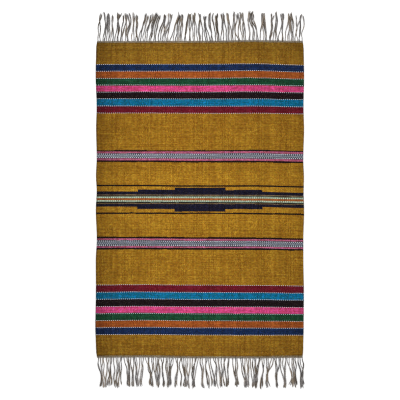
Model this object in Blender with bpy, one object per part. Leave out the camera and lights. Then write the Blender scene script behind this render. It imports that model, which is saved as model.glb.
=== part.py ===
"""Jajim rug: a flat, weft-faced woven panel with a heading and a warp fringe at each end.

The rug lies face up on the floor. +X runs across it, +Y along it towards the head end,
and +Z is up. The origin is on the floor, in the middle of the box round the whole rug.
Sizes are in metres, and the tables give theirs in millimetres.
"""

import math
import random
from collections import namedtuple

import bmesh
import bpy

MM = 0.001

# The woven panel
WIDTH = 800 * MM
WOVEN_LENGTH = 1224 * MM  # from the outer side of one heading to that of the other
THICKNESS = 4.0 * MM
UNEVENNESS = 0.35 * MM  # of the face, up and down
SWELL_ALONG = 370 * MM  # from crest to crest of the face's unevenness
SWELL_ACROSS = 290 * MM
SWELL_SKEW = 1.1  # turns for each metre aside, so that no crest runs straight
ROW_STEP = 60 * MM  # the most between two rows of points along the panel
FACE_COLUMNS = 16

# The heading, a row of twining that locks the last weft and holds the fringe's roots
HEADING_DEPTH = 6 * MM
CLEARANCE = 0.4 * MM  # between the panel and each heading
INNER_HEIGHT = 2.2 * MM  # of the heading's wall beside the panel
TWIST_LOW, TWIST_HIGH = 2.8 * MM, 3.8 * MM  # the twining's height where a twist starts and ends
TWIST_IN, TWIST_OUT = 1.6 * MM, 3.6 * MM  # how far out from the panel its ridge lies there

# The fringe: each strand is a pair of warp ends
STRANDS = 100
ROOT_MARGIN = 3 * MM  # from the heading's end to the middle of the first strand
ROOT_WIDTH = 2.8 * MM
TIP_WIDTH = 1.6 * MM
ROOT_HEIGHT = 2.2 * MM
TIP_HEIGHT = 1.5 * MM
TAPER = 1.6  # a strand has its tip's width from one part in this of its length
TOP_SHARE = 0.6  # a strand's top is this much narrower than its foot
STRAND_GAP = 0.55 * MM  # the least between two strands, straight across the rug
LOCK_PITCH = 2.25 * MM  # between the middles of two strands of a lock where it has gathered
LEVELS = (0.14, 0.36, 0.58, 0.79, 1.0)  # shares of the fringe's length where strands may bend
EAGERNESS = 0.85  # under 1, a lock draws together early on its way
SPLAY = 1.35  # a lock is this much wider at its tip than where it gathers
SWAY = 3.2 * MM  # how far a lock wanders to one side between its root and its tip
LENGTH_SPREAD = 0.055  # a strand may be this share longer or shorter
SETTLED = 1e-4 * MM  # two strands that are short of their gap by less than this stay
MOST_SWEEPS = 400

# The panel's sides, down from the head end: how far each stands out past half the width
Side = namedtuple("Side", "station left right")
SIDES = [
    Side(*row)
    for row in (
        (0, -5.0, -4.5),
        (14, -0.8, -1.4),
        (37, 0.0, 0.0),
        (129, 1.9, 1.5),
        (256, -2.0, -0.9),
        (337, 0.0, 1.2),
        (453, -2.3, -1.8),
        (523, 0.6, 0.9),
        (580, -2.3, -0.6),
        (654, 1.1, 1.3),
        (766, -2.8, -1.7),
        (847, 1.3, -1.3),
        (962, 0.8, 0.5),
        (1109, 3.2, -0.3),
        (1174, 0.8, -1.7),
        (1210, -0.8, -2.6),
        (1224, -4.0, -5.5),
    )
]

# The two ends across the rug: how far each stands out past half the woven length
Bow = namedtuple("Bow", "across head foot")
BOWS = [
    Bow(*row)
    for row in (
        (-400, 0.0, 0.0),
        (-230, 0.0, -1.2),
        (0, 0.6, 2.0),
        (205, 3.2, 2.4),
        (400, 0.4, 0.0),
    )
]

# The selvedge's round edge, over a doubled edge warp: in from the side, and height
SELVEDGE = ((1.4, 0.0), (0.0, 1.3), (0.3, 3.2), (2.0, 4.6), (4.5, 4.6), (7.5, 4.0))

# The fringe's locks from left to right: how many strands cling together, how far their
# tips lean to the right, and the share of the length at which they have gathered
Lock = namedtuple("Lock", "strands lean gather")
Fringe = namedtuple("Fringe", "end length seed locks")
HEAD = Fringe(
    end=1,
    length=99 * MM,
    seed=11,
    locks=[
        Lock(*row)
        for row in (
            (2, 3, 0.6), (4, 7, 0.7), (2, 5, 0.4), (3, 8, 0.5), (3, 7, 0.9), (2, 5, 0.7), (2, 3, 0.8),
            (2, 4, 0.6), (2, 27, 0.9), (3, 20, 0.9), (4, 22, 0.8), (3, 19, 0.7), (3, 12, 0.6),
            (4, 25, 0.8), (3, 6, 0.6), (3, 13, 0.9), (4, -2, 0.7), (3, -4, 0.8), (3, -7, 0.6),
            (3, -10, 0.6), (2, -8, 0.5), (3, -3, 0.8), (3, -5, 0.7), (3, -3, 0.5), (2, -7, 0.6),
            (2, -5, 0.5), (3, -5, 0.7), (3, -11, 0.8), (4, -2, 0.6), (2, 11, 0.6), (3, 5, 0.5),
            (3, 2, 0.6), (5, 3, 0.7), (2, 5, 0.6), (2, 9, 0.5),
        )
    ],
)  # fmt: skip
FOOT = Fringe(
    end=-1,
    length=105 * MM,
    seed=23,
    locks=[
        Lock(*row)
        for row in (
            (3, 3, 0.5), (2, 4, 0.9), (3, -1, 0.6), (3, 0, 0.6), (2, -2, 0.7), (3, 10, 0.7),
            (2, 4, 0.6), (3, 3, 0.7), (2, -5, 0.9), (4, 11, 0.6), (3, 6, 0.7), (2, 5, 0.6),
            (3, 3, 0.8), (3, -10, 0.6), (2, 3, 0.8), (4, 5, 0.6), (2, -4, 0.5), (4, -8, 0.5),
            (2, 5, 0.5), (3, 10, 0.7), (3, 11, 0.7), (3, 7, 0.7), (4, -1, 0.6), (4, 8, 0.8),
            (3, 6, 0.7), (2, 3, 0.6), (6, -4, 0.7), (2, -4, 0.9), (4, -8, 0.5), (3, 2, 0.7),
            (3, 6, 0.6), (3, 10, 0.6), (2, 8, 0.6), (3, 10, 0.5),
        )
    ],
)  # fmt: skip

# Colours as linear values, and how rough each is
WOOL_ROUGHNESS = 0.9
MUSTARD = (0.33, 0.15, 0.012, 1.0)
UNDYED = (0.15, 0.125, 0.1, 1.0)


def clear_scene():
    for old in list(bpy.data.objects):
        bpy.data.objects.remove(old)


def wool(name, colour):
    material = bpy.data.materials.new(name)
    material.use_nodes = True
    shader = material.node_tree.nodes["Principled BSDF"]
    shader.inputs["Base Color"].default_value = colour
    shader.inputs["Roughness"].default_value = WOOL_ROUGHNESS
    shader.inputs["Metallic"].default_value = 0.0
    return material


def add_object(name, bm, material):
    """Turns a bmesh into a named object of one material."""
    mesh = bpy.data.meshes.new(name)
    bm.to_mesh(mesh)
    bm.free()
    mesh.materials.append(material)
    made = bpy.data.objects.new(name, mesh)
    bpy.context.scene.collection.objects.link(made)
    return made


def ease(share):
    """0 at 0 and 1 at 1, level at both."""
    share = min(1.0, max(0.0, share))
    return share * share * (3 - 2 * share)


def from_table(rows, place, column):
    """A column's value at a place, eased between the rows of a table whose first column
    holds the places."""
    for before, after in zip(rows, rows[1:]):
        if place <= after[0]:
            break
    start, stop = getattr(before, column), getattr(after, column)
    return start + (stop - start) * ease((place - before[0]) / (after[0] - before[0]))


def side_x(y, side):
    """Where the panel's left (-1) or right (+1) side lies at a place along the rug."""
    station = (WOVEN_LENGTH / 2 - y) / MM
    column = "left" if side < 0 else "right"
    return side * (WIDTH / 2 + from_table(SIDES, station, column) * MM)


def bow(x, end):
    """How far the head (+1) or foot (-1) end stands out at a place across the rug."""
    return from_table(BOWS, x / MM, "head" if end > 0 else "foot") * MM


def bowed(x, y):
    """A place along the rug, moved with the ends' bow, which fades out towards the middle."""
    end = 1 if y > 0 else -1
    return y + end * bow(x, end) * (2 * y / WOVEN_LENGTH) ** 2


def face_height(x, y):
    """The height of the panel's face, which rises and dips a little, as hand weaving does."""
    along = math.sin(2 * math.pi * (y / SWELL_ALONG + SWELL_SKEW * x))
    across = math.sin(2 * math.pi * (x / SWELL_ACROSS + SWELL_SKEW * y))
    return THICKNESS + UNEVENNESS * (along + across) / 2


def panel_section(y):
    """One closed ring of points round the panel, across the rug at y: up the left selvedge,
    over the face, down the right selvedge and back under the face's points."""
    left, right = side_x(y, -1), side_x(y, 1)
    left_edge = [(left + inward * MM, height * MM) for inward, height in SELVEDGE]
    right_edge = [(right - inward * MM, height * MM) for inward, height in SELVEDGE]
    start, stop = left_edge[-1][0], right_edge[-1][0]
    columns = [start + (stop - start) * i / FACE_COLUMNS for i in range(FACE_COLUMNS + 1)]
    face = [(x, face_height(x, y)) for x in columns[1:-1]]
    underside = [(x, 0.0) for x in columns[::-1]]
    ring = left_edge + face + right_edge[::-1] + underside
    return [(x, bowed(x, y), z) for x, z in ring]


def panel_caps():
    """The faces that close an end of the panel, as places in its ring of points. Narrow ones
    side by side follow the end's bow."""
    left = len(SELVEDGE) - 1
    right = left + FACE_COLUMNS
    under_right = right + len(SELVEDGE)
    under_left = under_right + FACE_COLUMNS
    caps = [[*range(left + 1), under_left], list(range(right, under_right + 1))]
    for i in range(FACE_COLUMNS):
        caps.append([left + i, left + i + 1, under_left - i - 1, under_left - i])
    return caps


def panel_rows():
    """The places along the panel of its rows of points, in even steps between the stations."""
    reach = WOVEN_LENGTH / 2 - HEADING_DEPTH - CLEARANCE
    stations = [WOVEN_LENGTH / 2 - side.station * MM for side in SIDES]
    ends = [reach] + [y for y in stations if abs(y) < reach] + [-reach]
    places = [reach]
    for above, below in zip(ends, ends[1:]):
        steps = max(2, math.ceil((above - below) / ROW_STEP))
        places += [above + (below - above) * (i + 1) / steps for i in range(steps)]
    return places


def loft(rings, caps=None):
    """A closed bmesh through rings of points, capped at both ends, and its walls: one row of
    faces for each pair of rings, in the order of a ring's points. Without caps given, one
    face closes each end."""
    bm = bmesh.new()
    loops = [[bm.verts.new(point) for point in ring] for ring in rings]
    walls = []
    for near, far in zip(loops, loops[1:]):
        around = range(len(near))
        walls.append([bm.faces.new((near[i - 1], near[i], far[i], far[i - 1])) for i in around])
    for loop in (loops[0], loops[-1]):
        for cap in caps or [range(len(loop))]:
            bm.faces.new([loop[i] for i in cap])
    bmesh.ops.recalc_face_normals(bm, faces=bm.faces)
    return bm, walls


def build_panel(material):
    """The woven panel, which ends a clearance short of each heading."""
    bm, _ = loft([panel_section(y) for y in panel_rows()], panel_caps())
    return add_object("woven_panel", bm, material)


def lock_targets(fringe, roots):
    """For each strand, where its tip is headed in x, the middle of its lock there, and the
    share of the length at which the lock has gathered."""
    targets = []
    first = 0
    for lock in fringe.locks:
        own = roots[first : first + lock.strands]
        middle = sum(own) / len(own) + lock.lean * MM
        for place in range(lock.strands):
            packed = (place - (lock.strands - 1) / 2) * LOCK_PITCH
            targets.append((middle + packed, middle, lock.gather))
        first += lock.strands
    return targets


def keep_apart(places, width):
    """Pushes neighbours apart in x until all have the least gap between them."""
    places = list(places)
    for _ in range(MOST_SWEEPS):
        moved = False
        for i in range(len(places) - 1):
            short = width + STRAND_GAP - (places[i + 1] - places[i])
            if short > SETTLED:
                places[i] -= short / 2
                places[i + 1] += short / 2
                moved = True
        if not moved:
            break
    return places


def strand_routes(fringe, roots):
    """The route of each strand: rings of (x, distance from the heading, width, height)."""
    dice = random.Random(fringe.seed)
    targets = lock_targets(fringe, roots)
    lengths = [fringe.length * (1 + dice.uniform(-1, 1) * LENGTH_SPREAD) for _ in roots]
    sways = [dice.uniform(-SWAY, SWAY) for _ in fringe.locks]
    sway_of = [sway for sway, lock in zip(sways, fringe.locks) for _ in range(lock.strands)]
    routes = [[] for _ in roots]
    for level in LEVELS:
        width = ROOT_WIDTH + (TIP_WIDTH - ROOT_WIDTH) * min(1, TAPER * level)
        height = ROOT_HEIGHT + (TIP_HEIGHT - ROOT_HEIGHT) * level
        places = []
        for root, (target, middle, gather), sway in zip(roots, targets, sway_of):
            splay = 1 + (SPLAY - 1) * ease((level - gather) / (LEVELS[-1] - gather))
            goal = middle + (target - middle) * splay
            bend = sway * math.sin(2 * math.pi * level) * ease(2 * level)
            places.append(root + (goal - root) * ease(level / gather) ** EAGERNESS + bend)
        for route, x, length in zip(routes, keep_apart(places, width), lengths):
            distance = length if level == LEVELS[-1] else fringe.length * level
            route.append((x, distance, width, height))
    return routes


def heading_section(x, end, ridge_out, ridge_height):
    """One ring of points round the heading at x. Its outer wall is the last side."""
    outer = WOVEN_LENGTH / 2 + bow(x, end)
    inner = outer - HEADING_DEPTH
    return [
        (x, end * outer, 0.0),
        (x, end * inner, 0.0),
        (x, end * inner, INNER_HEIGHT),
        (x, end * (inner + ridge_out), ridge_height),
        (x, end * outer, ROOT_HEIGHT),
    ]


def grow_strand(bm, root, route, end):
    """Extrudes a strand's root face along its route, flat on the floor."""
    middle = root.calc_center_median()
    corners = [(1 if v.co.x > middle.x else -1, v.co.z > ROOT_HEIGHT / 2) for v in root.verts]
    face = root
    for x, distance, width, height in route:
        face = bmesh.ops.extrude_discrete_faces(bm, faces=[face])["faces"][0]
        for vert, (side, is_top) in zip(face.verts, corners):
            half = width / 2 * (TOP_SHARE if is_top else 1.0)
            z = height if is_top else 0.0
            vert.co = (x + side * half, middle.y + end * distance, z)


def build_fringe(name, fringe, material):
    """A heading with all its strands, one solid: only their roots join them."""
    y = fringe.end * (WOVEN_LENGTH - HEADING_DEPTH) / 2
    left, right = side_x(y, -1), side_x(y, 1)
    pitch = (right - left - 2 * ROOT_MARGIN) / (STRANDS - 1)
    roots = [left + ROOT_MARGIN + pitch * i for i in range(STRANDS)]
    low = (TWIST_IN, TWIST_LOW)
    high = (TWIST_OUT, TWIST_HIGH)
    rings = [heading_section(left, fringe.end, *low)]
    for root in roots:
        rings.append(heading_section(root - ROOT_WIDTH / 2, fringe.end, *low))
        rings.append(heading_section(root + ROOT_WIDTH / 2, fringe.end, *high))
    rings.append(heading_section(right, fringe.end, *low))
    bm, walls = loft(rings)
    outer_walls = [row[0] for row in walls[1::2]]
    for root, route in zip(outer_walls, strand_routes(fringe, roots)):
        grow_strand(bm, root, route, fringe.end)
    bmesh.ops.recalc_face_normals(bm, faces=bm.faces)
    return add_object(name, bm, material)


def centre_on_origin(parts):
    """Moves the meshes so that the middle of the box round them all is over the origin."""
    for axis in (0, 1):
        values = [v.co[axis] for part in parts for v in part.data.vertices]
        shift = -(min(values) + max(values)) / 2
        for part in parts:
            for v in part.data.vertices:
                v.co[axis] += shift


def build_rug():
    clear_scene()
    cloth = wool("mustard_wool", MUSTARD)
    warp = wool("undyed_warp", UNDYED)
    parts = [
        build_panel(cloth),
        build_fringe("fringe_head", HEAD, warp),
        build_fringe("fringe_foot", FOOT, warp),
    ]
    centre_on_origin(parts)


build_rug()
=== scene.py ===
"""The jajim rug's looks: ribbed wool cloth with its stripes, dotted weft lines and stepped
band, twined headings and a fringe of plied warp yarn, laid out flat and seen from above.

Lengths are in metres unless a name or a table says millimetres. A place on the cloth is
given as it was woven: "across" from the middle to the right, "along" from the middle
towards the head end.
"""

import random
from collections import namedtuple

import bpy
import numpy as np
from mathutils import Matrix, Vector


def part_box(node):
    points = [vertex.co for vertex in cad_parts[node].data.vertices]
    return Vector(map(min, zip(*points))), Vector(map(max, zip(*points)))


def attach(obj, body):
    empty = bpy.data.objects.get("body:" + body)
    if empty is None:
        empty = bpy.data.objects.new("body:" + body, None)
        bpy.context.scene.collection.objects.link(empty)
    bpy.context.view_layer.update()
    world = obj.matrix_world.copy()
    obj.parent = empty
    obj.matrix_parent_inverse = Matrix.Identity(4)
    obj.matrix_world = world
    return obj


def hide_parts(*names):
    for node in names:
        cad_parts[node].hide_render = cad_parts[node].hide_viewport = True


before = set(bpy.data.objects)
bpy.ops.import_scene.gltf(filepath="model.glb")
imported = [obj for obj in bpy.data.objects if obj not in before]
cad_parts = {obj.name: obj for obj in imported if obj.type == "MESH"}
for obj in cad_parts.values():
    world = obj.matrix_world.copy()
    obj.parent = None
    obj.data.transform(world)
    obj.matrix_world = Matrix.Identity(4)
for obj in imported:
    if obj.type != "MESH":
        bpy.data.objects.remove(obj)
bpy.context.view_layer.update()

MM = 0.001
PHOTO_SIZE = 400  # pixels
PIXEL = 3.857 * MM  # what one pixel of the photograph shows
CAMERA_LENS = 85.0  # mm
CAMERA_SENSOR = 36.0  # mm
CAMERA_OFFSET = (0.1, -0.6)  # pixels, of the photograph's middle from the rug's

# The construction, as in the CAD part
WIDTH = 800 * MM
WOVEN_LENGTH = 1224 * MM
THICKNESS = 4.0 * MM
UNEVENNESS = 0.35 * MM
SWELL_ALONG = 370 * MM
SWELL_ACROSS = 290 * MM
SWELL_SKEW = 1.1
HEADING_DEPTH = 6 * MM
CLEARANCE = 0.4 * MM
PANEL_REACH = WOVEN_LENGTH / 2 - HEADING_DEPTH - CLEARANCE

# The weave: one rib for each warp end
RIBS = 200
RIB_PITCH = WIDTH / RIBS
RIB_DEPTH = 0.75 * MM
RIB_TOP = ((0.0, 0.0), (0.24, 0.78), (0.5, 1.0), (0.76, 0.78))  # across a rib, and height
RIB_UNDER = ((0.0, 0.0), (0.5, 1.0))
CLOTH_ROWS = 76
CLOTH_SEED = 7
SELVEDGE_RISE = 0.6 * MM
SELVEDGE_RIBS = 2
SELVEDGE_START = 1.5  # selvedge widths in from the side, where the cloth begins to rise
SIDE_DROP = 0.45  # of the cloth's height, from its face down to where it meets the underside
ROW_DEPTHS = (0.85, 1.1)  # shares of the ribs' depth, from row to row of the mesh
LINE_DEPTHS = (0.9, 1.1)  # and from line to line across it
PICK_HEIGHT = 1.5 * MM  # of one weft float on a rib
PICK_WAVER = 1.5  # picks, how far they stray from straight
WAVER_TURNS = 9.0  # a metre
BRICK_SHARE = 0.3  # of a float, between a rib and the next
SPECK_PICKS = 3  # of one lighter or darker speck of wool, which is one rib wide
FLOAT_RELIEF = 0.45 * MM  # of the rounding and fibres of a float
FLOAT_BUMP = 0.8
FIBRE_SHARE = 0.35  # of a float's rounding
FIBRE_TURNS = (900, 3600)  # a metre across and along the rug
WOOL_ROUGHNESS = 0.95

# A point in the weave: its place on the cloth, the number of its rib and of its pick, how far
# up its float it is, and where its pick was laid
Weave = namedtuple("Weave", "across along rib pick rise laid")

# The cloth's sides, down from the head end: how far each stands out past half the width
Side = namedtuple("Side", "station left right")
SIDES = [
    Side(*row)
    for row in (
        (0, -5.0, -4.5),
        (14, -0.8, -1.4),
        (37, 0.0, 0.0),
        (129, 1.9, 1.5),
        (256, -2.0, -0.9),
        (337, 0.0, 1.2),
        (453, -2.3, -1.8),
        (523, 0.6, 0.9),
        (580, -2.3, -0.6),
        (654, 1.1, 1.3),
        (766, -2.8, -1.7),
        (847, 1.3, -1.3),
        (962, 0.8, 0.5),
        (1109, 3.2, -0.3),
        (1174, 0.8, -1.7),
        (1210, -0.8, -2.6),
        (1224, -4.0, -5.5),
    )
]

# How far the wefts stray towards the head end, by place along and across the rug
Bow = namedtuple("Bow", "along far_left left middle right far_right")
BOW_ACROSS = (-400, -230, 0, 205, 400)
BOWS = [
    Bow(*row)
    for row in (
        (-612, 0.0, 1.2, -2.0, -2.4, 0.0),
        (-426, 0.2, 1.8, -0.2, -1.2, -3.0),
        (-190, -0.4, 0.3, -1.0, -1.8, -5.2),
        (-150, 1.0, 1.0, -0.9, -1.9, -5.0),
        (0, 0.4, 0.3, 0.0, -0.8, -4.4),
        (52, 0.9, 0.8, -1.4, -0.8, -4.4),
        (150, 0.7, 0.4, -1.2, -1.0, -4.2),
        (187, -1.4, -1.6, -1.6, 0.0, -3.4),
        (345, 0.4, 0.4, -0.6, -0.1, -3.0),
        (500, -0.8, -0.2, -0.2, 1.6, -3.6),
        (612, 0.0, 0.0, 0.6, 3.2, 0.4),
    )
]

# The fringe's locks from left to right, as in the CAD part: how many strands cling together,
# how far their tips lean to the right, and the share of the length where they have gathered
Lock = namedtuple("Lock", "strands lean gather")
Fringe = namedtuple("Fringe", "end length seed locks")
HEAD = Fringe(
    end=1,
    length=100 * MM,
    seed=11,
    locks=[
        Lock(*row)
        for row in (
            (2, 3, 0.6), (4, 7, 0.7), (2, 5, 0.4), (3, 8, 0.5), (3, 7, 0.9), (2, 5, 0.7), (2, 3, 0.8),
            (2, 4, 0.6), (2, 27, 0.9), (3, 20, 0.9), (4, 22, 0.8), (3, 19, 0.7), (3, 12, 0.6),
            (4, 25, 0.8), (3, 6, 0.6), (3, 13, 0.9), (4, -2, 0.7), (3, -4, 0.8), (3, -7, 0.6),
            (3, -10, 0.6), (2, -8, 0.5), (3, -3, 0.8), (3, -5, 0.7), (3, -3, 0.5), (2, -7, 0.6),
            (2, -5, 0.5), (3, -5, 0.7), (3, -11, 0.8), (4, -2, 0.6), (2, 11, 0.6), (3, 5, 0.5),
            (3, 2, 0.6), (5, 3, 0.7), (2, 5, 0.6), (2, 9, 0.5),
        )
    ],
)  # fmt: skip
FOOT = Fringe(
    end=-1,
    length=106.5 * MM,
    seed=23,
    locks=[
        Lock(*row)
        for row in (
            (3, 3, 0.5), (2, 4, 0.9), (3, -1, 0.6), (3, 0, 0.6), (2, -2, 0.7), (3, 10, 0.7),
            (2, 4, 0.6), (3, 3, 0.7), (2, -5, 0.9), (4, 11, 0.6), (3, 6, 0.7), (2, 5, 0.6),
            (3, 3, 0.8), (3, -10, 0.6), (2, 3, 0.8), (4, 5, 0.6), (2, -4, 0.5), (4, -8, 0.5),
            (2, 5, 0.5), (3, 10, 0.7), (3, 11, 0.7), (3, 7, 0.7), (4, -1, 0.6), (4, 8, 0.8),
            (3, 6, 0.7), (2, 3, 0.6), (6, -4, 0.7), (2, -4, 0.9), (4, -8, 0.5), (3, 2, 0.7),
            (3, 6, 0.6), (3, 10, 0.6), (2, 8, 0.6), (3, 10, 0.5),
        )
    ],
)  # fmt: skip
STRANDS = 100
ROOT_MARGIN = 3 * MM  # from the cloth's side to the first root
LOCK_PITCH = 2.25 * MM  # between strands that cling together
SPLAY = 1.35  # times that at the lock's tip
SWAY = 3.2 * MM  # of a lock to either side, at most
LENGTH_SPREAD = 0.055  # of a strand's length, more or less

# The fringe's yarn
ROOT_RADIUS = 1.0 * MM
TIP_RADIUS = 1.45 * MM
TIP_START = 0.8  # of a yarn's length, by which it is as thick as at its tip
TAPER = 0.4  # of its radius, lost at the very tip
TAPER_START = 0.94
YARN_WIDTHS = (0.85, 1.15)  # shares of the radius, from yarn to yarn
YARN_LENGTHS = (0.97, 1.03)  # shares of the length, from strand to strand and yarn to yarn
YARN_SEED = 100  # added to the fringe's own
YARN_STEPS = 54
YARN_SIDES = 8
STRAND_TURN = 55 * MM  # along a strand for one turn of its two yarns about each other
STRAND_WIDTH = 0.5 * MM  # from its middle to the middle of each yarn
STRAND_OPENING = 1.9 * MM  # how far its yarns stand apart at the tip
OPENINGS = (0.3, 1.3)  # shares of that, from strand to strand
OPENING_START = 0.7  # of its length, where they begin to part
STRAY_SHARE = 0.24  # of the strands, which arc aside from their lock
STRAY_REACHES = (3, 10)  # mm aside at the tip
STRAY_START = 0.3  # of its length, where a stray leaves
STRAY_ARC = 8  # mm aside at most, halfway along
LOOSE_SHARE = 0.12  # of the yarns, which wander off from their strand
LOOSE_ARC = 6 * MM  # aside at most, halfway along
CRINKLES = ((1.2, 1.7), (2.6, 0.55), (6.0, 0.1))  # waves in a strand's length, and their size in mm
CRINKLE_RANGE = (0.7, 1.3)  # shares of those waves, from strand to strand
CRINKLE_ARC = 2.0  # mm aside at most, of the one bend in a strand's whole length
CRINKLE_START = 0.25  # of its length, by which it crinkles in full
LOCK_MUDDLE = 0.6  # of a strand's pitch, how far strands stray within their lock
GATHER_DELAYS = (1.1, 1.6)  # times a lock's own gather, where each strand has joined it
GATHER_POWERS = (0.9, 1.5)  # above 1, it joins later
LAYER_HEIGHT = 1.3 * MM  # of yarns that lie on others
LAYER_RATE = 1.6  # how quickly they climb as the lock gathers
LAYER_DELAY = 0.3  # before they start to
ROOT_LIFT = 1.4 * MM  # of the strands' roots off the floor
LANDING_RATE = 5.5  # a strand is down on the floor after 1/5.5 of its length
ROOT_MUDDLE = 0.42  # of a strand's pitch, how unevenly the strands come out of the cloth
PLY_TURN = 9 * MM  # along the yarn for one turn of its two plies
PLY_GROOVE = 0.2  # of the radius
PLY_PHASES = 6.0  # radians over which the plies' starts are spread
SHADE_POWER = 2  # above 1, most yarns are dark and few are light

# The frayed ends of one yarn
WISPS = 3
WISP_LENGTH = 7 * MM
WISP_REACHES = (0.4, 1.0)  # shares of that length
WISP_LEAN = 0.55  # of its length, aside at its end, at most
WISP_RADIUS = 0.38 * MM
WISP_POINT = 0.4  # of its radius, at its end
WISP_SINK = 0.5  # of its height, lost by its end
WISP_HEIGHT = 0.4 * MM  # of its middle off the floor, at least
WISP_SHADES = (0.2, 0.9)
WISP_STEPS = 5
WISP_SIDES = 3

# Spun yarn's surface: its mottles, its two colours and its fibres, each with its turns a metre
MOTTLE_TURNS = 110.0
MOTTLE_SHADES = (0.76, 1.24)
COLOUR_TURNS = 24.0
COLOUR_CHANGE = (0.42, 0.58)  # of the noise between one colour and the other
YARN_FIBRE_TURNS = 1400.0
YARN_RELIEF = 0.2 * MM
YARN_BUMP = 0.6
YARN_ROUGHNESS = 0.93

# The dotted lines: one raised pick each, which shows on every second rib. A float's shape is
# its places out from its middle, in float lengths, and its heights there, 1 over and -1 under
FLOAT_SHAPE = ((-0.6, -0.8), (-0.46, 0.7), (-0.24, 0.96), (0, 1), (0.24, 0.96), (0.46, 0.7), (0.6, -0.8))
PICK_SIDES = 6
PICK_RADIUS = 0.8 * MM
PICK_PROUD = 0.4 * MM  # of the ribs' crests
PICK_CLEARANCE = 0.05 * MM  # off the floor
PICK_INSET = 1.5 * MM  # from the cloth's side
PICK_WIDTHS = (0.86, 1.1)  # shares of how tall a float is, from place to place
PICK_STRAY = 0.5 * MM  # at most, along the rug
PICK_KNOTS = 40  # across the rug, between which a pick strays

# The headings, twined round the warp ends
TWINE_TURN = 8 * MM  # across the rug for one twist of the twining
TWINE_STEPS = 10  # for one twist
TWINE_SIDES = 5
TWINE_ROWS = 2
TWINE_DEPTHS = {1: 4.6 * MM, -1: 3.8 * MM}  # of all its rows, at the head and the foot end
TWINE_RADIUS = 1.05 * MM
TWINE_SWING = 0.55 * MM  # of a yarn to either side of its row
TWINE_MIDDLE = 2.1 * MM  # off the floor
TWINE_RISE = 0.75 * MM  # of a yarn over and under that
TWINE_LAG = 1.3  # radians from one row to the next
TWINE_STRAY = 0.3 * MM  # at most, along the rug
TWINE_KNOTS = 60  # across the rug, between which a yarn strays
TWINE_INSET = 0.5 * MM  # from the cloth's side
TWINE_STATION = 0.99  # of the half length, where the cloth's width is read
TWINE_SEED = 40

# The floor and the light
FLOOR_HALF = 6.0
FLOOR_TONES = (0.96, 0.98)
FLOOR_TURNS = 3.0  # a metre
FLOOR_ROUGHNESS = 0.9
SKY_STRENGTH = 0.75
Light = namedtuple("Light", "name place size power")
LIGHTS = [
    Light("key", (-1.6, 1.8, 3.4), 2.0, 75),
    Light("fill", (2.0, -1.4, 3.2), 2.5, 30),
]
FILTER_WIDTH = 1.2  # pixels, so that dots two pixels apart stay apart

# Colours as they show in the photograph, 0 to 255
WHITE = (188, 190, 196)
ASH = (158, 163, 172)
MINT = (167, 187, 165)
MINT_SHADE = (116, 126, 108)
NAVY = (21, 38, 71)
ORANGE = (147, 74, 29)
GREEN = (22, 65, 42)
PINK = (197, 65, 117)
BLACK = (27, 17, 20)
BLUE = (11, 98, 133)
MAROON = (96, 19, 32)
DARK = (28, 18, 16)
DULL_PINK = (170, 87, 113)
SLATE = (56, 60, 72)
OLIVE = (112, 92, 66)
MIDNIGHT = (22, 20, 36)
RUST = (147, 79, 36)
LAST_PICKS = (142, 124, 94)
HAIR = (190, 172, 150)
UNDYED = (105, 95, 84)
GREY_WARP = (118, 114, 112)
TWINE = (138, 127, 112)
SPECULAR = 0.06  # of wool and of matt paint alike

# The mustard ground, which darkens away from the middle: its colour there, on the head side and
# on the foot side
Ground = namedtuple("Ground", "along head foot")
RAMP_LENGTH = 640 * MM  # out from the middle, that the whole colour ramp stands for
GROUNDS = [
    Ground(0, (160, 114, 30), (160, 114, 30)),
    Ground(65, (158, 112, 29), (158, 112, 29)),
    Ground(120, (149, 105, 26), (149, 105, 26)),
    Ground(330, (142, 99, 25), (145, 102, 26)),
    Ground(530, (134, 94, 25), (138, 97, 25)),
    Ground(570, (127, 90, 24), (131, 92, 24)),
    Ground(612, (116, 82, 24), (131, 92, 24)),
]

# The stripes of each half, outward from the middle: where each starts, on the head side and
# on the foot side
Stripe = namedtuple("Stripe", "colour head foot")
GROUND = None
STRIPES = [
    Stripe(RUST, 0.0, 0.0),
    Stripe(MINT_SHADE, 5.0, 4.7),
    Stripe(DARK, 12.4, 10.7),
    Stripe(OLIVE, 14.8, 14.0),
    Stripe(GROUND, 19.2, 17.9),
    Stripe(DARK, 50.2, 50.1),
    Stripe(GROUND, 56.2, 56.0),
    Stripe(DARK, 143.6, 144.3),
    Stripe(DULL_PINK, 150.2, 150.8),
    Stripe(SLATE, 158.0, 157.7),
    Stripe(DULL_PINK, 179.3, 180.3),
    Stripe(DARK, 186.0, 186.0),
    Stripe(GROUND, 191.5, 192.5),
    Stripe(MAROON, 332.0, 329.1),
    Stripe(BLUE, 359.1, 357.6),
    Stripe(BLACK, 387.9, 384.8),
    Stripe(PINK, 415.3, 413.7),
    Stripe(GREEN, 438.7, 438.2),
    Stripe(ORANGE, 467.5, 467.7),
    Stripe(NAVY, 493.8, 493.2),
    Stripe(GROUND, 521.1, 521.5),
    Stripe(LAST_PICKS, 603.2, 601.6),
]

# The stepped band either side of the middle: how far out each step goes on the head and
# foot sides, within so far of the middle across
Step = namedtuple("Step", "within head foot")
BAND_START = Step(400, 18.8, 17.0)
STEPS = [Step(400, 30.0, 28.0), Step(241, 37.2, 36.6), Step(98, 47.0, 46.8)]

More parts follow.
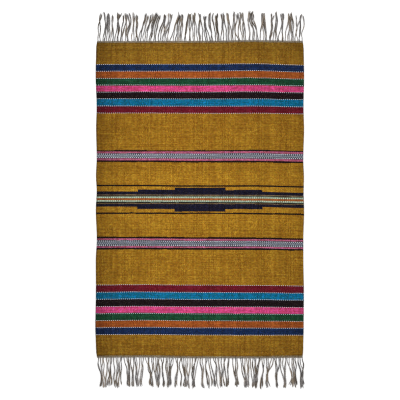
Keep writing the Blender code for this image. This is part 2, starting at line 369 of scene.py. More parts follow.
# How the wool's lightness ranges: from pick to pick, from rib to rib, from float to float, from
# speck to speck, and in streaks and patches of so many turns a metre across and along the rug
PICK_SHADES = (0.95, 1.21)
RIB_SHADES = (0.88, 1.12)
FLOAT_SHADES = (0.8, 1.2)
SPECK_SHADES = (0.78, 1.22)
Streaks = namedtuple("Streaks", "across along detail low high")
STREAKS = [
    Streaks(9, 260, 3, 0.62, 1.38),
    Streaks(34, 210, 2, 0.72, 1.28),
    Streaks(130, 14, 2, 0.7, 1.3),
    Streaks(90, 90, 3, 0.7, 1.3),
    Streaks(20, 20, 2, 0.7, 1.3),
]
SHADE_POWERS = (0.84, 1.1, 1.25)  # on red, green and blue: light wool is paler, dark wool redder
RED_SHADES = (0.87, 1.13)  # of the red alone, from float to float
BLUE_SHADES = (0.1, 1.9)  # of the blue alone, in patches
BLUE_TURNS = (210, 210)  # a metre across and along the rug

# The pale hairs: the peaks of a noise that is drawn out across the rug
HAIR_TURNS = (160, 640)
HAIR_GAIN = 1.2
HAIR_CUT = 0.73

# Dotted lines: how tall and long the pick's floats are, and where it lies on the head and
# foot sides. Phase 0 shows on the even ribs and phase 1 on the odd ones
Dots = namedtuple("Dots", "tall long phase head foot")
DOTTED = [
    Dots(2.9, 2.9, 0, 332.6, 329.8),
    Dots(2.9, 2.9, 1, 359.6, 357.9),
    Dots(2.9, 2.9, 0, 387.7, 384.9),
    Dots(2.9, 2.9, 1, 413.8, 413.3),
    Dots(2.9, 2.9, 0, 441.4, 441.0),
    Dots(2.9, 2.9, 1, 467.0, 467.0),
    Dots(2.9, 2.9, 0, 494.8, 494.4),
    Dots(2.9, 2.9, 1, 520.8, 521.3),
]
CHECKS = [
    Dots(2.3, 3.4, 1, 165.3, 165.3),
    Dots(2.3, 3.4, 0, 167.3, 167.8),
    Dots(2.3, 3.4, 1, 169.3, 170.3),
    Dots(2.3, 3.4, 0, 171.3, 172.7),
]
CHECK_EDGES = [
    Dots(3.8, 3.6, 0, 161.2, 161.4),
    Dots(3.8, 3.6, 0, 175.3, 176.4),
]
MINTS = [Dots(6.2, 4.6, 0, 7.0, 6.1)]

# How light the cloth is by how far in a place is from the left and the right side, in
# millimetres: painted shade, darkest at the very sides and more so on the left. The
# photograph doesn't show whether light, dye or wear makes its sides darker
Shading = namedtuple("Shading", "inward left right")
PAINTED_SIDE_SHADES = [
    Shading(0, 0.34, 0.61),
    Shading(5, 0.47, 0.69),
    Shading(14, 0.59, 0.73),
    Shading(24, 0.64, 0.79),
    Shading(50, 0.7, 0.81),
    Shading(80, 0.8, 0.82),
    Shading(120, 0.84, 0.85),
    Shading(165, 0.92, 0.85),
    Shading(215, 0.93, 0.9),
    Shading(265, 0.95, 0.92),
    Shading(330, 1.0, 0.95),
    Shading(400, 0.97, 0.97),
]


def linear(colour):
    """A colour from 0 to 255 as shown, as the linear values that shaders take."""
    values = []
    for value in colour:
        share = value / 255
        values.append(share / 12.92 if share <= 0.04045 else ((share + 0.055) / 1.055) ** 2.4)
    return (*values, 1.0)


def ease(share):
    """0 at 0 and 1 at 1, level at both, for a number or an array."""
    share = np.clip(share, 0.0, 1.0)
    return share * share * (3 - 2 * share)


def eased_between(places, values, at):
    """Values at places, eased between them, read at an array of places."""
    places = np.asarray(places, float)
    values = np.asarray(values, float)
    at = np.clip(at, places[0], places[-1])
    low = np.clip(np.searchsorted(places, at, side="right") - 1, 0, len(places) - 2)
    share = (at - places[low]) / (places[low + 1] - places[low])
    return values[low] + (values[low + 1] - values[low]) * ease(share)


def side_x(along, side):
    """Where the cloth's left (-1) or right (+1) side lies, before the shift to the frame."""
    stations = [row.station for row in SIDES]
    column = [row.left if side < 0 else row.right for row in SIDES]
    station = (WOVEN_LENGTH / 2 - np.asarray(along, float)) / MM
    return side * (WIDTH / 2 + eased_between(stations, column, station) * MM)


def bow(across, along):
    """How far the weft strays towards the head end at a place on the cloth."""
    across, along = np.broadcast_arrays(np.asarray(across, float) / MM, np.asarray(along, float) / MM)
    places = [row.along for row in BOWS]
    columns = np.array([eased_between(places, column, along) for column in list(zip(*BOWS))[1:]])
    starts = np.array(BOW_ACROSS)
    low = np.clip(np.searchsorted(starts, across, side="right") - 1, 0, len(starts) - 2)
    share = ease((across - starts[low]) / (starts[low + 1] - starts[low]))
    near = np.take_along_axis(columns, low[None], 0)[0]
    far = np.take_along_axis(columns, low[None] + 1, 0)[0]
    return (near + (far - near) * share) * MM


def frame_shift():
    """How far the CAD part was moved to put its box's middle over the origin."""
    low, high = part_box("woven_panel")
    places = np.linspace(-PANEL_REACH, PANEL_REACH, 2001)
    left = side_x(places, -1).min()
    right = side_x(places, 1).max()
    across = np.linspace(-WIDTH / 2, WIDTH / 2, 2001)
    weight = (2 * PANEL_REACH / WOVEN_LENGTH) ** 2
    top = PANEL_REACH + bow(across, WOVEN_LENGTH / 2).max() * weight
    foot = -PANEL_REACH + bow(across, -WOVEN_LENGTH / 2).min() * weight
    return (low[0] + high[0] - left - right) / 2, (low[1] + high[1] - top - foot) / 2


SHIFT_X, SHIFT_Y = frame_shift()


def placed(across, along):
    """World x and y of a place on the cloth."""
    across = np.asarray(across, float)
    along = np.asarray(along, float)
    left, right = side_x(along, -1), side_x(along, 1)
    x = left + (across / WIDTH + 0.5) * (right - left)
    return x + SHIFT_X, along + bow(across, along) + SHIFT_Y


def face_height(across, along):
    """The height of the ribs' crests."""
    swell = np.sin(2 * np.pi * (along / SWELL_ALONG + SWELL_SKEW * across))
    cross_swell = np.sin(2 * np.pi * (across / SWELL_ACROSS + SWELL_SKEW * along))
    edge = (np.abs(across) - WIDTH / 2) / (SELVEDGE_RIBS * RIB_PITCH) + SELVEDGE_START
    return THICKNESS + UNEVENNESS * (swell + cross_swell) / 2 + SELVEDGE_RISE * ease(edge)


def add_mesh(name, points, faces, material, shades=None):
    """A smooth-shaded mesh object that rides on the rug. Shades are one number a point, which
    its material reads."""
    mesh = bpy.data.meshes.new(name)
    mesh.from_pydata(points.tolist(), [], faces)
    mesh.materials.append(material)
    if shades is not None:
        mesh.attributes.new("shade", "FLOAT", "POINT").data.foreach_set("value", shades)
    mesh.shade_smooth()
    made = bpy.data.objects.new(name, mesh)
    bpy.context.scene.collection.objects.link(made)
    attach(made, "root")
    return made


class Nodes:
    """Builds one material's nodes."""

    def __init__(self, name, roughness):
        self.material = bpy.data.materials.new(name)
        self.material.use_nodes = True
        self.tree = self.material.node_tree
        self.shader = self.tree.nodes["Principled BSDF"]
        self.shader.inputs["Roughness"].default_value = roughness
        self.shader.inputs["Specular IOR Level"].default_value = SPECULAR

    def add(self, kind, **settings):
        node = self.tree.nodes.new(kind)
        for key, value in settings.items():
            setattr(node, key, value)
        return node

    def put(self, socket, value):
        """Links a socket, or sets a number or colour, on another socket."""
        if isinstance(value, bpy.types.NodeSocket):
            self.tree.links.new(value, socket)
        else:
            socket.default_value = value

    def math(self, operation, *values):
        node = self.add("ShaderNodeMath", operation=operation)
        for socket, value in zip(node.inputs, values):
            self.put(socket, value)
        return node.outputs[0]

    def mix(self, share, first, second, blend="MIX"):
        node = self.add("ShaderNodeMix", data_type="RGBA", blend_type=blend)
        self.put(node.inputs[0], share)
        self.put(node.inputs[6], first)
        self.put(node.inputs[7], second)
        return node.outputs[2]

    def combine(self, x, y, z=0.0):
        node = self.add("ShaderNodeCombineXYZ")
        for socket, value in zip(node.inputs, (x, y, z)):
            self.put(socket, value)
        return node.outputs[0]

    def noise(self, vector, scale, detail=2.0):
        node = self.add("ShaderNodeTexNoise")
        self.put(node.inputs["Vector"], vector)
        node.inputs["Scale"].default_value = scale
        node.inputs["Detail"].default_value = detail
        return node.outputs[0]

    def random(self, *values):
        """One random number for each whole number, or for each pair of them."""
        node = self.add("ShaderNodeTexWhiteNoise", noise_dimensions="2D")
        self.put(node.inputs["Vector"], self.combine(values[0], values[-1]))
        return node.outputs["Value"]

    def ramp(self, share, stops):
        """Colours between stops, each a position from 0 to 1 and a colour, in order."""
        node = self.add("ShaderNodeValToRGB")
        elements = node.color_ramp.elements
        while len(elements) < len(stops):
            elements.new(0.5)
        for element, (position, colour) in zip(elements, stops):
            element.position = position
            element.color = colour
        self.put(node.inputs[0], share)
        return node.outputs[0]

    def attribute(self, name):
        return self.add("ShaderNodeAttribute", attribute_name=name)

    def product(self, *shares):
        total = shares[0]
        for share in shares[1:]:
            total = self.math("MULTIPLY", total, share)
        return total

    def brighten(self, colour, *shares):
        """Multiplies a colour by numbers."""
        total = self.product(*shares)
        return self.mix(1.0, colour, self.combine(total, total, total), "MULTIPLY")

    def spread(self, value, low, high):
        """Maps 0 to 1 to low to high."""
        return self.math("MULTIPLY_ADD", value, high - low, low)

    def finish(self, colour, height=None, distance=1 * MM, strength=1.0):
        """Gives the material its colour and, if it has one, its bump."""
        self.put(self.shader.inputs["Base Color"], colour)
        if height is not None:
            bump = self.add("ShaderNodeBump")
            bump.inputs["Strength"].default_value = strength
            bump.inputs["Distance"].default_value = distance
            self.put(bump.inputs["Height"], height)
            self.put(self.shader.inputs["Normal"], bump.outputs[0])
        return self.material


def band_mask(nodes, out, side_column, across):
    """1 inside the stepped band on one side of the middle."""
    start = getattr(BAND_START, side_column) * MM
    reach = None
    for step in STEPS:
        inside = nodes.math("LESS_THAN", across, step.within * MM)
        here = nodes.math("MULTIPLY", inside, getattr(step, side_column) * MM)
        reach = here if reach is None else nodes.math("MAXIMUM", reach, here)
    started = nodes.math("GREATER_THAN", out, start)
    return nodes.math("MULTIPLY", started, nodes.math("LESS_THAN", out, reach))


def half_colour(nodes, out, side_column, across):
    """The cloth's colour on one side of the middle, by how far out from it a place is."""
    stops = [(row.along * MM / RAMP_LENGTH, linear(getattr(row, side_column))) for row in GROUNDS]
    ground = nodes.ramp(nodes.math("DIVIDE", out, RAMP_LENGTH), stops)
    colour = linear(STRIPES[0].colour)
    for stripe in STRIPES[1:]:
        started = nodes.math("GREATER_THAN", out, getattr(stripe, side_column) * MM)
        colour = nodes.mix(started, colour, linear(stripe.colour) if stripe.colour else ground)
    return nodes.mix(band_mask(nodes, out, side_column, across), colour, linear(MIDNIGHT))


def read_weave(nodes):
    """Where the shaded point is in the weave."""
    split = nodes.add("ShaderNodeSeparateXYZ")
    nodes.put(split.inputs[0], nodes.attribute("woven").outputs["Vector"])
    across, along = split.outputs[0], split.outputs[1]
    rib = nodes.math("FLOOR", nodes.math("DIVIDE", nodes.math("ADD", across, WIDTH / 2), RIB_PITCH))
    # Picks lie like bricks: the floats of a rib are somewhat above those of the next
    brick = nodes.math("MULTIPLY", nodes.math("MODULO", rib, 2.0), BRICK_SHARE)
    waver = nodes.math("MULTIPLY", nodes.noise(nodes.combine(across, along), WAVER_TURNS), PICK_WAVER)
    count = nodes.math("ADD", nodes.math("DIVIDE", along, PICK_HEIGHT), nodes.math("ADD", brick, waver))
    pick = nodes.math("FLOOR", count)
    middle = nodes.math("ADD", pick, 0.5)
    laid = nodes.math("MULTIPLY", nodes.math("SUBTRACT", middle, waver), PICK_HEIGHT)
    return Weave(across, along, rib, pick, nodes.math("FRACT", count), laid)


def stripe_colour(nodes, weave):
    """The stripes, bands and mustard ground of both halves."""
    out = nodes.math("ABSOLUTE", weave.laid)
    across_out = nodes.math("ABSOLUTE", weave.across)
    head = half_colour(nodes, out, "head", across_out)
    foot = half_colour(nodes, out, "foot", across_out)
    return nodes.mix(nodes.math("GREATER_THAN", weave.along, 0.0), foot, head)


def streaks(nodes, weave, turns, detail=2.0):
    """Noise with so many turns a metre across and along the rug."""
    across = nodes.math("MULTIPLY", weave.across, turns[0])
    along = nodes.math("MULTIPLY", weave.along, turns[1])
    return nodes.noise(nodes.combine(across, along), 1.0, detail)


def wool_shade(nodes, weave):
    """How light the wool is, which differs from pick to pick, from rib to rib, along both, in
    specks and in patches."""
    speck = nodes.math("FLOOR", nodes.math("DIVIDE", weave.pick, SPECK_PICKS))
    shades = [
        nodes.spread(nodes.random(weave.pick), *PICK_SHADES),
        nodes.spread(nodes.random(weave.rib), *RIB_SHADES),
        nodes.spread(nodes.random(weave.rib, speck), *SPECK_SHADES),
        nodes.spread(nodes.random(weave.rib, weave.pick), *FLOAT_SHADES),
    ]
    for row in STREAKS:
        noise = streaks(nodes, weave, (row.across, row.along), row.detail)
        shades.append(nodes.spread(noise, row.low, row.high))
    return nodes.product(*shades)


def wool_tint(nodes, weave):
    """What the wool's shade does to a dye's red, green and blue."""
    shade = wool_shade(nodes, weave)
    red, green, blue = [nodes.math("POWER", shade, power) for power in SHADE_POWERS]
    red_dye = nodes.spread(nodes.random(weave.pick, weave.rib), *RED_SHADES)
    blue_dye = nodes.spread(streaks(nodes, weave, BLUE_TURNS, 1.0), *BLUE_SHADES)
    return nodes.combine(nodes.product(red, red_dye), green, nodes.product(blue, blue_dye))


def painted_side_shade(nodes, across):
    """The painted shade that darkens the cloth towards its sides, by how far in from them a place is."""
    inward = nodes.math("SUBTRACT", WIDTH / 2, nodes.math("ABSOLUTE", across))
    deepest = PAINTED_SIDE_SHADES[-1].inward
    share = nodes.math("DIVIDE", inward, deepest * MM)
    sides = []
    for side in ("left", "right"):
        stops = [(row.inward / deepest, (*[getattr(row, side)] * 3, 1)) for row in PAINTED_SIDE_SHADES]
        sides.append(nodes.ramp(share, stops))
    return nodes.mix(nodes.math("GREATER_THAN", across, 0.0), *sides)


def woven_wool():
    """The cloth's stripes on its ribs, pick by pick."""
    nodes = Nodes("woven_wool", WOOL_ROUGHNESS)
    weave = read_weave(nodes)
    colour = nodes.mix(1.0, stripe_colour(nodes, weave), wool_tint(nodes, weave), "MULTIPLY")
    # Painted shade, darker towards the cloth's sides
    colour = nodes.mix(1.0, colour, painted_side_shade(nodes, weave.across), "MULTIPLY")
    # A few pale hairs show in every colour
    hairs = nodes.math("MULTIPLY_ADD", streaks(nodes, weave, HAIR_TURNS), HAIR_GAIN, -HAIR_CUT)
    colour = nodes.mix(nodes.math("MAXIMUM", hairs, 0.0), colour, linear(HAIR))
    # Each float is round, and its fibres are fine streaks across the rib
    within = nodes.math("SUBTRACT", weave.rise, 0.5)
    roundness = nodes.math("MULTIPLY_ADD", nodes.math("MULTIPLY", within, within), -4.0, 1.0)
    fibres = streaks(nodes, weave, FIBRE_TURNS, 3.0)
    height = nodes.math("MULTIPLY_ADD", fibres, FIBRE_SHARE, roundness)
    return nodes.finish(colour, height, FLOAT_RELIEF, FLOAT_BUMP)


def yarn(name, colour, other=None, shades=(0.74, 1.24)):
    """Spun wool of one colour, or of two by turns, with each yarn's own shade and fine
    fibres."""
    nodes = Nodes(name, YARN_ROUGHNESS)
    place = nodes.add("ShaderNodeTexCoord").outputs["Object"]
    shade = nodes.spread(nodes.attribute("shade").outputs["Fac"], *shades)
    mottle = nodes.spread(nodes.noise(place, MOTTLE_TURNS), *MOTTLE_SHADES)
    fibres = nodes.noise(place, YARN_FIBRE_TURNS)
    colour = linear(colour)
    if other:
        first, last = COLOUR_CHANGE
        stops = [(first, (0, 0, 0, 1)), (last, (1, 1, 1, 1))]
        share = nodes.ramp(nodes.noise(place, COLOUR_TURNS, detail=1.0), stops)
        colour = nodes.mix(share, colour, linear(other))
    return nodes.finish(nodes.brighten(colour, shade, mottle), fibres, YARN_RELIEF, YARN_BUMP)


def cloth_ring():
    """The points round the cloth: its face from left to right, then its underside from right
    to left. Each is its place across, whether it is on the face, and its share of the rib's
    depth."""
    ring = []
    for rib in range(RIBS):
        for share, height in RIB_TOP:
            ring.append((-WIDTH / 2 + (rib + share) * RIB_PITCH, True, height))
    ring.append((WIDTH / 2, True, 0.0))
    for rib in reversed(range(RIBS)):
        for share, height in reversed(RIB_UNDER):
            ring.append((-WIDTH / 2 + (rib + share) * RIB_PITCH, False, height))
    return ring[:-1]


def cloth_faces(count):
    """Faces between the cloth's rows, of so many points each, and over its two ends, which
    are closed rib by rib."""
    faces = []
    for row in range(CLOTH_ROWS - 1):
        near, far = row * count, (row + 1) * count
        for i in range(count):
            j = (i + 1) % count
            faces.append((near + i, far + i, far + j, near + j))
    per_top, per_under = len(RIB_TOP), len(RIB_UNDER)
    for row, flip in ((0, False), (CLOTH_ROWS - 1, True)):
        start = row * count
        for rib in range(RIBS):
            top = [start + rib * per_top + k for k in range(per_top + 1)]
            last = RIBS * per_top + (RIBS - rib) * per_under
            under = [start + (last - k) % count for k in range(per_under + 1)]
            outline = list(dict.fromkeys(top + under[::-1]))
            faces.append(outline[::-1] if flip else outline)
    return faces


def build_cloth(material):
    """The woven cloth as one closed mesh with a rib for each warp end. It keeps each point's
    place in the weave for its material."""
    dice = np.random.default_rng(CLOTH_SEED)
    ring = cloth_ring()
    across, is_top, relief = [np.array(column) for column in zip(*ring)]
    along = np.linspace(PANEL_REACH, -PANEL_REACH, CLOTH_ROWS)
    across, along = np.meshgrid(across, along)
    crest = face_height(across, along)
    lumps = dice.uniform(*ROW_DEPTHS, (CLOTH_ROWS, 1)) * dice.uniform(*LINE_DEPTHS, (1, len(ring)))
    depth = RIB_DEPTH * lumps * (1 - relief)
    is_side = np.isclose(np.abs(across), WIDTH / 2)
    depth = np.where(is_side, SIDE_DROP * crest, depth)
    z = np.where(is_top, crest - depth, depth)
    points = np.stack([*placed(across, along), z], axis=-1).reshape(-1, 3)
    cloth = add_mesh("woven_cloth", points, cloth_faces(len(ring)), material)
    woven = np.stack([across, along, np.zeros_like(along)], axis=-1)
    attribute = cloth.data.attributes.new("woven", "FLOAT_VECTOR", "POINT")
    attribute.data.foreach_set("vector", woven.reshape(-1))
    return cloth


def tube_faces(count, steps, sides):
    """Faces of so many closed tubes, whose points are numbered tube by tube, ring by ring."""
    faces = []
    for tube in range(count):
        start = tube * steps * sides
        for step in range(steps - 1):
            near, far = start + step * sides, start + (step + 1) * sides
            for i in range(sides):
                j = (i + 1) % sides
                faces.append((near + i, near + j, far + j, far + i))
        faces.append([start + i for i in reversed(range(sides))])
        last = start + (steps - 1) * sides
        faces.append([last + i for i in range(sides)])
    return faces


def tubes(paths, radius_across, radius_up, sides, twist=None, groove=0.0):
    """Points of closed tubes round paths (tube, step, xyz). Radii are numbers or arrays
    (tube, step). A groove makes each a yarn of two plies, turned by twist."""
    ahead = np.gradient(paths, axis=1)
    ahead /= np.linalg.norm(ahead, axis=2, keepdims=True) + 1e-12
    aside = np.cross(ahead, (0.0, 0.0, 1.0))
    aside /= np.linalg.norm(aside, axis=2, keepdims=True) + 1e-12
    up = np.cross(aside, ahead)
    angle = np.arange(sides) * 2 * np.pi / sides
    angle = np.broadcast_to(angle, paths.shape[:2] + (sides,))
    lobe = 1.0
    if twist is not None:
        lobe = 1 + groove * np.cos(2 * (angle - twist[..., None]))
    wide = np.broadcast_to(radius_across, paths.shape[:2])[..., None] * lobe * np.cos(angle)
    tall = np.broadcast_to(radius_up, paths.shape[:2])[..., None] * lobe * np.sin(angle)
    points = paths[:, :, None] + aside[:, :, None] * wide[..., None] + up[:, :, None] * tall[..., None]
    return points.reshape(-1, 3)


def pick_route(dots, place, dice):
    """The route of one dotted pick: places across and along, and heights from -1 under the
    ribs to 1 over them."""
    middles = -WIDTH / 2 + (2 * np.arange(RIBS // 2) + dots.phase + 0.5) * RIB_PITCH
    shape = np.array(FLOAT_SHAPE)
    places = np.append(shape[:, 0] * dots.long * MM, RIB_PITCH)
    heights = np.append(shape[:, 1], -1.0)
    across = (middles[:, None] + places).reshape(-1)
    knots = np.linspace(-WIDTH / 2, WIDTH / 2, PICK_KNOTS)
    stray = np.interp(across, knots, dice.uniform(-1, 1, PICK_KNOTS) * PICK_STRAY)
    reach = WIDTH / 2 - PICK_INSET
    return np.clip(across, -reach, reach), place + stray, np.tile(heights, len(middles))


def build_picks(name, rows, material, seed):
    """Dotted weft lines as real picks: each shows on the face on every second rib, and on
    the underside on the ribs between."""
    dice = np.random.default_rng(seed)
    paths = []
    for dots, side in rows:
        place = (dots.head if side > 0 else -dots.foot) * MM
        across, along, wave = pick_route(dots, place, dice)
        top = face_height(across, along) + PICK_PROUD - PICK_RADIUS
        bottom = PICK_RADIUS + PICK_CLEARANCE
        z = (top + bottom) / 2 + (top - bottom) / 2 * wave
        paths.append(np.stack([*placed(across, along), z], axis=-1))
    paths = np.array(paths)
    lines, steps = paths.shape[:2]
    tall = np.array([dots.tall for dots, _ in rows])[:, None] * MM / 2
    tall = tall * dice.uniform(*PICK_WIDTHS, (lines, steps))
    points = tubes(paths, tall, PICK_RADIUS, PICK_SIDES)
    shades = np.repeat(dice.uniform(0, 1, lines * steps), PICK_SIDES)
    return add_mesh(name, points, tube_faces(lines, steps, PICK_SIDES), material, shades)


def both_sides(rows):
    """Each pick on the head side, then each on the foot side."""
    return [(dots, side) for side in (1, -1) for dots in rows]


def crinkle(t, dice):
    """How far one strand waves aside along its length, in millimetres: it keeps the bends that
    the weave gave it."""
    aside = dice.uniform(-1, 1) * CRINKLE_ARC * np.sin(np.pi * t)
    for waves, size in CRINKLES:
        turn = dice.uniform(0, 2 * np.pi)
        aside = aside + size * np.sin(2 * np.pi * waves * t * dice.uniform(*CRINKLE_RANGE) + turn)
    if dice.random() < STRAY_SHARE:
        left = ease((t - STRAY_START) / (1 - STRAY_START))
        aside = aside + dice.choice((-1, 1)) * dice.uniform(*STRAY_REACHES) * left
        aside = aside + dice.uniform(-1, 1) * STRAY_ARC * np.sin(np.pi * t)
    return aside * ease(t / CRINKLE_START)


def strand_yarns(t, length, dice):
    """A strand's two yarns, turned about each other and open at the tip: how far each lies
    aside from the strand's middle and above it."""
    turn = 2 * np.pi * length * t / STRAND_TURN + dice.uniform(0, 2 * np.pi)
    parted = ease((t - OPENING_START) / (1 - OPENING_START))
    opening = STRAND_OPENING * dice.uniform(*OPENINGS) * parted
    routes = []
    for side in (-1, 1):
        aside = side * (STRAND_WIDTH * np.cos(turn) + opening)
        if dice.random() < LOOSE_SHARE:
            aside = aside + dice.uniform(-1, 1) * LOOSE_ARC * np.sin(np.pi * t) ** 2
        routes.append((aside, STRAND_WIDTH * (1 + side * np.sin(turn))))
    return routes


def strand_route(t, lock, roots, place, sway, dice):
    """Where one strand of a lock runs across the rug: from its root to its place in the lock,
    aside with the lock, and in crinkles of its own."""
    splay = 1 + (SPLAY - 1) * ease((t - lock.gather) / (1 - lock.gather))
    spot = place - (lock.strands - 1) / 2 + dice.uniform(-1, 1) * LOCK_MUDDLE
    goal = sum(roots) / len(roots) + lock.lean * MM + spot * LOCK_PITCH * splay
    delay = lock.gather * dice.uniform(*GATHER_DELAYS)
    gathered = ease(t / delay) ** dice.uniform(*GATHER_POWERS)
    x = roots[place] + (goal - roots[place]) * gathered
    return x + sway * np.sin(2 * np.pi * t) * ease(2 * t) + crinkle(t, dice) * MM


def yarn_routes(fringe):
    """The route of each yarn of a fringe, two for each CAD strand, seen from above: places
    across the rug, lengths out from the cloth and heights off the floor."""
    dice = random.Random(fringe.seed)
    edge = fringe.end * (WOVEN_LENGTH - HEADING_DEPTH) / 2
    left, right = float(side_x(edge, -1)), float(side_x(edge, 1))
    pitch = (right - left - 2 * ROOT_MARGIN) / (STRANDS - 1)
    places = [i + dice.uniform(-1, 1) * ROOT_MUDDLE for i in range(STRANDS)]
    roots = [left + ROOT_MARGIN + pitch * place for place in places]
    lengths = [fringe.length * (1 + dice.uniform(-1, 1) * LENGTH_SPREAD) for _ in roots]
    sways = [dice.uniform(-SWAY, SWAY) for _ in fringe.locks]
    t = np.linspace(0, 1, YARN_STEPS)
    xs, outs, lifts = [], [], []
    first = 0
    for lock, sway in zip(fringe.locks, sways):
        own = roots[first : first + lock.strands]
        for place in range(lock.strands):
            x = strand_route(t, lock, own, place, sway, dice)
            length = lengths[first + place] * dice.uniform(*YARN_LENGTHS)
            climbed = ease(LAYER_RATE * t / lock.gather - LAYER_DELAY)
            layer = dice.choice((0, 1)) * LAYER_HEIGHT * climbed
            for aside, lift in strand_yarns(t, length, dice):
                xs.append(x + aside)
                outs.append(length * dice.uniform(*YARN_LENGTHS) * t)
                lifts.append(lift + layer)
        first += lock.strands
    return np.array(xs), np.array(outs), np.array(lifts)


def build_fringe(name, fringe, material):
    """The fringe of one end: plied yarns that come out under the heading and lie in locks on
    the floor, thicker and loose where they open at the tip, each frayed there."""
    dice = np.random.default_rng(fringe.seed + YARN_SEED)
    xs, outs, lifts = yarn_routes(fringe)
    count = len(xs)
    along = WOVEN_LENGTH / 2 - HEADING_DEPTH + outs * (1 + HEADING_DEPTH / fringe.length)
    y = fringe.end * along + bow(xs[:, :1], fringe.end * WOVEN_LENGTH / 2)
    t = np.linspace(0, 1, YARN_STEPS)[None]
    radius = ROOT_RADIUS + (TIP_RADIUS - ROOT_RADIUS) * ease(t / TIP_START)
    radius = radius * (1 - TAPER * ease((t - TAPER_START) / (1 - TAPER_START)))
    radius = radius * dice.uniform(*YARN_WIDTHS, (count, 1))
    z = radius * (1 + PLY_GROOVE) + lifts + ROOT_LIFT * (1 - ease(t * LANDING_RATE))
    paths = np.stack([xs + SHIFT_X, y + SHIFT_Y, z], axis=-1)
    twist = 2 * np.pi * outs / PLY_TURN + dice.uniform(0, PLY_PHASES, (count, 1))
    points = tubes(paths, radius, radius, YARN_SIDES, twist, PLY_GROOVE)
    shades = np.repeat(dice.uniform(0, 1, count) ** SHADE_POWER, YARN_STEPS * YARN_SIDES)
    faces = tube_faces(count, YARN_STEPS, YARN_SIDES)
    wisp_points, wisp_shades, wisp_faces = fray(paths, dice, len(points))
    points = np.concatenate([points, wisp_points])
    shades = np.concatenate([shades, wisp_shades])
    return add_mesh(name, points, faces + wisp_faces, material, shades)


def fray(paths, dice, offset):
    """Thin loose fibres that fan out of each yarn's tip: their points, shades and faces, with
    the points numbered from the offset."""
    tips = paths[:, -2]
    ahead = paths[:, -1] - paths[:, -4]
    ahead /= np.linalg.norm(ahead, axis=1, keepdims=True)
    t = np.linspace(0, 1, WISP_STEPS)[None, :, None]
    wisps = []
    for _ in range(WISPS):
        reach = dice.uniform(*WISP_REACHES, (len(tips), 1, 1)) * WISP_LENGTH
        lean = dice.uniform(-WISP_LEAN, WISP_LEAN, len(tips))
        wisp = tips[:, None] + ahead[:, None] * reach * t
        wisp[..., 0] += lean[:, None] * (reach * t**2)[..., 0]
        wisp[..., 2] = np.maximum(WISP_HEIGHT, wisp[..., 2] * (1 - WISP_SINK * t[..., 0]))
        wisps.append(wisp)
    wisps = np.concatenate(wisps)
    thin = WISP_RADIUS * np.linspace(1, WISP_POINT, WISP_STEPS)
    points = tubes(wisps, thin, thin, WISP_SIDES)
    shades = np.repeat(dice.uniform(*WISP_SHADES, len(wisps)), WISP_STEPS * WISP_SIDES)
    faces = [[offset + i for i in face] for face in tube_faces(len(wisps), WISP_STEPS, WISP_SIDES)]
    return points, shades, faces


def build_heading(name, end, material):
    """The heading of one end: rows of two yarns twined round the warp ends."""
    dice = np.random.default_rng(TWINE_SEED + end)
    edge = end * WOVEN_LENGTH / 2
    left, right = [float(side_x(edge * TWINE_STATION, side)) for side in (-1, 1)]
    steps = round((right - left) / TWINE_TURN) * TWINE_STEPS + 1
    x = np.linspace(left + TWINE_INSET, right - TWINE_INSET, steps)
    knots = np.linspace(left, right, TWINE_KNOTS)
    paths = []
    for row in range(TWINE_ROWS):
        out = WOVEN_LENGTH / 2 - HEADING_DEPTH + (row + 0.5) * TWINE_DEPTHS[end] / TWINE_ROWS
        for ply in (0.0, np.pi):
            angle = 2 * np.pi * np.arange(steps) / TWINE_STEPS + ply + row * TWINE_LAG
            stray = np.interp(x, knots, dice.uniform(-1, 1, TWINE_KNOTS) * TWINE_STRAY)
            y = end * (out + TWINE_SWING * np.cos(angle)) + bow(x, edge) + stray
            z = TWINE_MIDDLE + TWINE_RISE * np.sin(angle)
            paths.append(np.stack([x + SHIFT_X, y + SHIFT_Y, z], axis=-1))
    paths = np.array(paths)
    points = tubes(paths, TWINE_RADIUS, TWINE_RADIUS, TWINE_SIDES)
    shades = np.repeat(dice.uniform(0, 1, len(paths) * steps), TWINE_SIDES)
    return add_mesh(name, points, tube_faces(len(paths), steps, TWINE_SIDES), material, shades)


def build_floor():
    """A wide white floor, which isn't part of the rug."""
    nodes = Nodes("floor_paint", FLOOR_ROUGHNESS)
    place = nodes.add("ShaderNodeTexCoord").outputs["Object"]
    tone = nodes.spread(nodes.noise(place, FLOOR_TURNS), *FLOOR_TONES)
    material = nodes.finish(nodes.combine(tone, tone, tone))
    mesh = bpy.data.meshes.new("floor")
    corners = [(x * FLOOR_HALF, y * FLOOR_HALF, 0) for x, y in ((-1, -1), (1, -1), (1, 1), (-1, 1))]
    mesh.from_pydata(corners, [], [(0, 1, 2, 3)])
    mesh.materials.append(material)
    floor = bpy.data.objects.new("floor", mesh)
    bpy.context.scene.collection.objects.link(floor)
    return floor


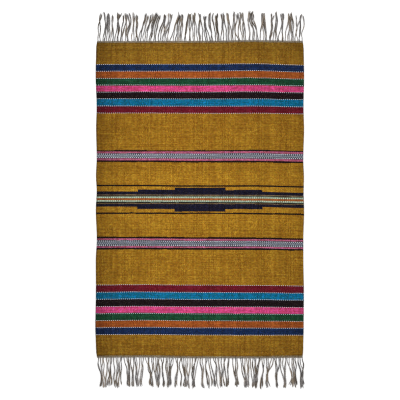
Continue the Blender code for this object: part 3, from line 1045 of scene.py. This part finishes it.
def build_camera():
    """Straight above the rug, with the photograph's frame."""
    view = PHOTO_SIZE * PIXEL
    data = bpy.data.cameras.new("camera")
    data.lens = CAMERA_LENS
    data.sensor_width = CAMERA_SENSOR
    camera = bpy.data.objects.new("camera", data)
    camera.location = (
        SHIFT_X + CAMERA_OFFSET[0] * PIXEL,
        SHIFT_Y + CAMERA_OFFSET[1] * PIXEL,
        view * CAMERA_LENS / CAMERA_SENSOR,
    )
    bpy.context.scene.collection.objects.link(camera)
    bpy.context.scene.camera = camera


def add_light(row):
    """A square light that points at the rug."""
    data = bpy.data.lights.new(row.name, "AREA")
    data.size = row.size
    data.energy = row.power
    light = bpy.data.objects.new(row.name, data)
    light.location = row.place
    direction = -light.location
    light.rotation_euler = direction.to_track_quat("-Z", "Y").to_euler()
    bpy.context.scene.collection.objects.link(light)


def build_lights():
    """Even white light from all round, and two soft lights above."""
    world = bpy.data.worlds.new("studio")
    world.use_nodes = True
    background = world.node_tree.nodes["Background"]
    background.inputs[0].default_value = (1.0, 1.0, 1.0, 1.0)
    background.inputs[1].default_value = SKY_STRENGTH
    bpy.context.scene.world = world
    for row in LIGHTS:
        add_light(row)


def set_look():
    """Shows colours as they are, as sharp as the photograph."""
    scene = bpy.context.scene
    scene.view_settings.view_transform = "Standard"
    scene.cycles.filter_width = FILTER_WIDTH
    scene.cycles.denoising_prefilter = "NONE"


floor = build_floor()
build_camera()
build_lights()
set_look()

white = yarn("white_wool", WHITE, shades=(0.85, 1.24))
ash = yarn("ash_wool", ASH, shades=(0.85, 1.24))
warp_yarn = yarn("undyed_warp", UNDYED, GREY_WARP, shades=(0.55, 2.1))
twine = yarn("heading_twine", TWINE)
cloth = build_cloth(woven_wool())
heading_head = build_heading("heading_head", 1, twine)
heading_foot = build_heading("heading_foot", -1, twine)
fringe_head = build_fringe("warp_fringe_head", HEAD, warp_yarn)
fringe_foot = build_fringe("warp_fringe_foot", FOOT, warp_yarn)
dots_head = build_picks("dotted_lines_head", [(d, 1) for d in DOTTED], white, 51)
dots_foot = build_picks("dotted_lines_foot", [(d, -1) for d in DOTTED], white, 52)
checks = build_picks("checked_bands", both_sides(CHECKS), ash, 53)
check_edges = build_picks("checked_band_edges", both_sides(CHECK_EDGES), white, 55)
mints = build_picks("mint_lines", both_sides(MINTS), yarn("mint_wool", MINT), 54)

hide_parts("woven_panel")
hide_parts("fringe_head")
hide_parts("fringe_foot")
